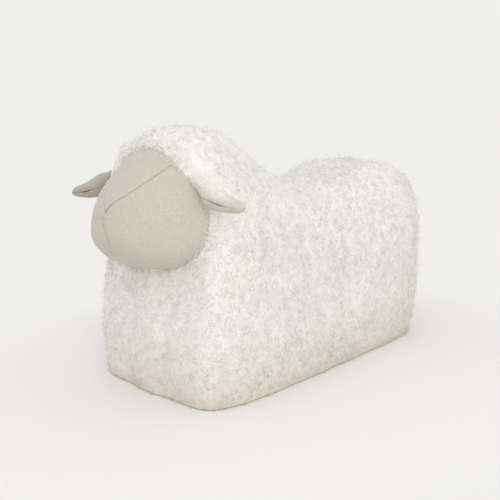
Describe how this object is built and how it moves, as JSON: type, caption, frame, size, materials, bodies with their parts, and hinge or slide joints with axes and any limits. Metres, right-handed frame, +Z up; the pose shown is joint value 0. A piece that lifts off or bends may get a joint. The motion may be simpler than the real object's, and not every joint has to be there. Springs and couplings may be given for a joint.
{
  "type": "animal footstool",
  "caption": "Lamb-shaped footstool: padded box under a curly pile cover, with a saddle-dipped back, a raised fabric face and flap ears.",
  "frame": {"origin": "on the floor, under the middle of the whole length, muzzle included", "axes": "+Z up, -Y the way the lamb looks, +X its left side"},
  "size_m": [0.3952, 0.6636, 0.402],
  "materials": {
    "pile": "matte",
    "face_fabric": "matte",
    "foam": "matte",
    "fibre": "matte",
    "plywood": "matte",
    "softwood": "matte",
    "lining": "matte",
    "glide_plastic": "satin",
    "zinc_steel": "satin"
  },
  "bodies": {
    "stool": {"cover_left_side": "pile", "cover_right_side": "pile", "cover_back": "pile", "cover_head": "pile", "cover_chest": "pile", "cover_rump": "pile", "face_forehead": "face_fabric", "face_left_cheek": "face_fabric", "face_right_cheek": "face_fabric", "face_filling": "fibre", "base_board": "plywood", "front_board": "plywood", "rear_board": "plywood", "left_board": "plywood", "right_board": "plywood", "seat_board": "plywood", "front_left_block": "softwood", "front_right_block": "softwood", "rear_left_block": "softwood", "rear_right_block": "softwood", "chest_foam": "foam", "left_side_foam": "foam", "right_side_foam": "foam", "rear_foam": "foam", "head_foam": "foam", "seat_foam": "foam", "rump_foam": "foam", "cover_hem": "lining", "dust_cover": "lining", "front_left_glide": "glide_plastic", "front_right_glide": "glide_plastic", "rear_left_glide": "glide_plastic", "rear_right_glide": "glide_plastic", "front_left_base_screw": "zinc_steel", "front_left_seat_screw": "zinc_steel", "front_left_glide_screw": "zinc_steel", "front_right_base_screw": "zinc_steel", "front_right_seat_screw": "zinc_steel", "front_right_glide_screw": "zinc_steel", "rear_left_base_screw": "zinc_steel", "rear_left_seat_screw": "zinc_steel", "rear_left_glide_screw": "zinc_steel", "rear_right_base_screw": "zinc_steel", "rear_right_seat_screw": "zinc_steel", "rear_right_glide_screw": "zinc_steel", "hem_staple_1": "zinc_steel", "hem_staple_2": "zinc_steel", "hem_staple_3": "zinc_steel", "hem_staple_4": "zinc_steel", "hem_staple_5": "zinc_steel", "hem_staple_6": "zinc_steel", "hem_staple_7": "zinc_steel", "hem_staple_8": "zinc_steel"},
    "ear_left": {"ear_back_left": "face_fabric", "ear_lining_left": "face_fabric"},
    "ear_right": {"ear_back_right": "face_fabric", "ear_lining_right": "face_fabric"}
  },
  "joints": [
    {"name": "left_ear_flap", "type": "hinge", "parent": "stool", "child": "ear_left", "pos_m": [0.10368, -0.25081, 0.31535], "axis": [-0.6103, -0.2314, 0.7576], "range_deg": [-30, 35], "stiffness_Nm_per_rad": 0.02},
    {"name": "right_ear_flap", "type": "hinge", "parent": "stool", "child": "ear_right", "pos_m": [-0.10368, -0.25081, 0.31535], "axis": [-0.6103, 0.2314, -0.7576], "range_deg": [-30, 35], "stiffness_Nm_per_rad": 0.02}
  ]
}
